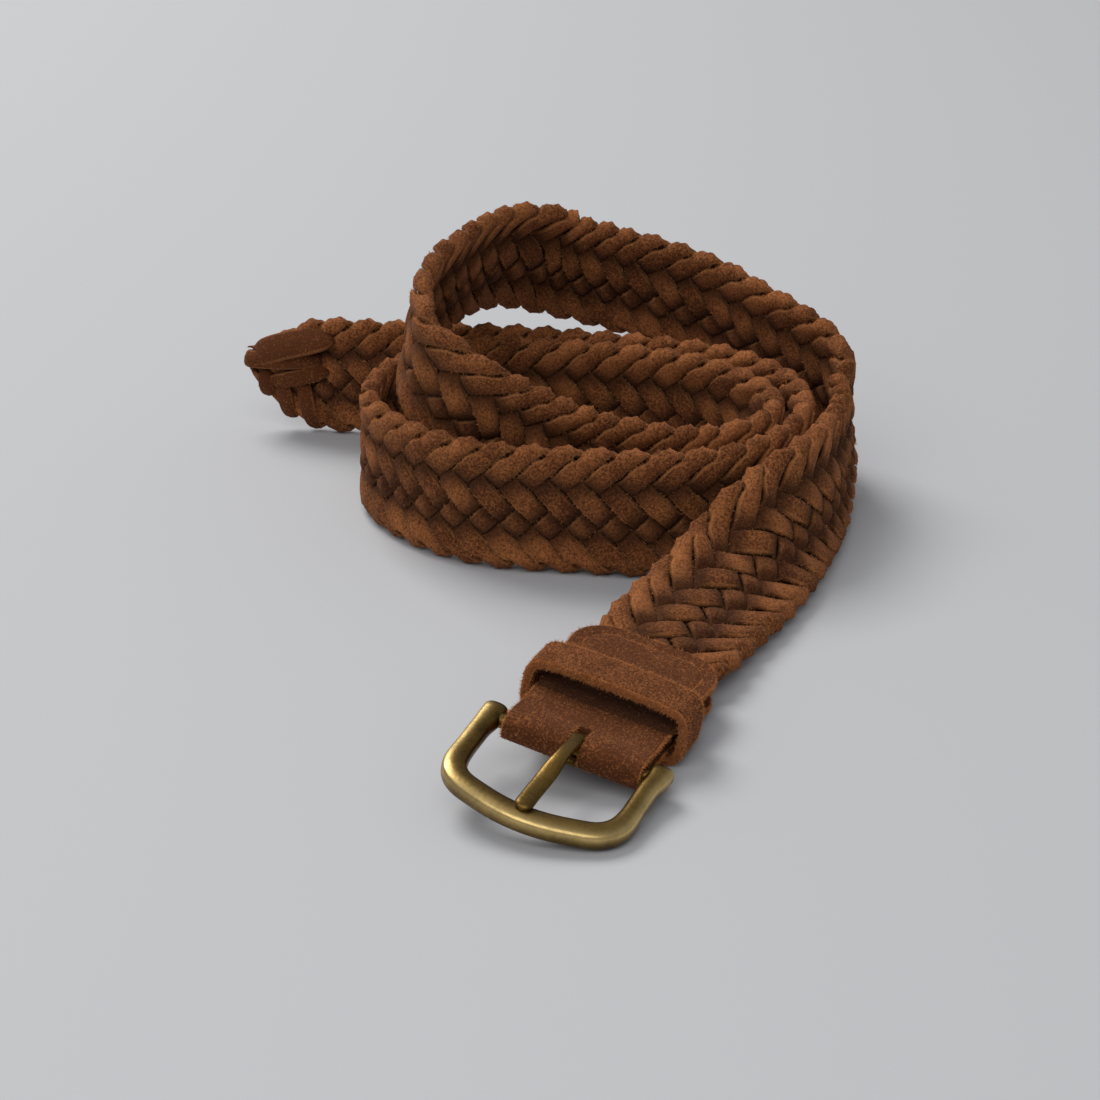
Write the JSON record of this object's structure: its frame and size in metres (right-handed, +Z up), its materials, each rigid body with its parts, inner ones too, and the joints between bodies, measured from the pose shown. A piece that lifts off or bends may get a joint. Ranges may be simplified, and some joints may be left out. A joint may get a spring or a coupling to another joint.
{
  "type": "braided belt",
  "caption": "Braided suede waist belt with a brass prong buckle and a keeper loop, coiled up and standing on its edge.",
  "frame": {"origin": "centre of the belt's footprint, on the floor that it rests on", "axes": "+Z up; +Y along the strap, from the buckle towards the coil; +X to the right with the buckle in front"},
  "size_m": [0.1978, 0.2502, 0.0754],
  "materials": {
    "suede": "matte brushed suede",
    "brass": "antique, worn bright on the edges"
  },
  "bodies": {
    "belt": {"braid": "suede", "tab": "suede", "keeper": "suede"},
    "frame": {"buckle_frame": "brass"},
    "prong": {"prong": "brass"}
  },
  "joints": [
    {"name": "frame_swing", "type": "hinge", "parent": "belt", "child": "frame", "pos_m": [0.07354, -0.09495, 0.00948], "axis": [-0.983, 0.0226, 0.1822], "range_deg": [-20, 40]},
    {"name": "prong_swing", "type": "hinge", "parent": "frame", "child": "prong", "pos_m": [0.07354, -0.09495, 0.00948], "axis": [-0.983, 0.0226, 0.1822], "range_deg": [0, 55]}
  ]
}
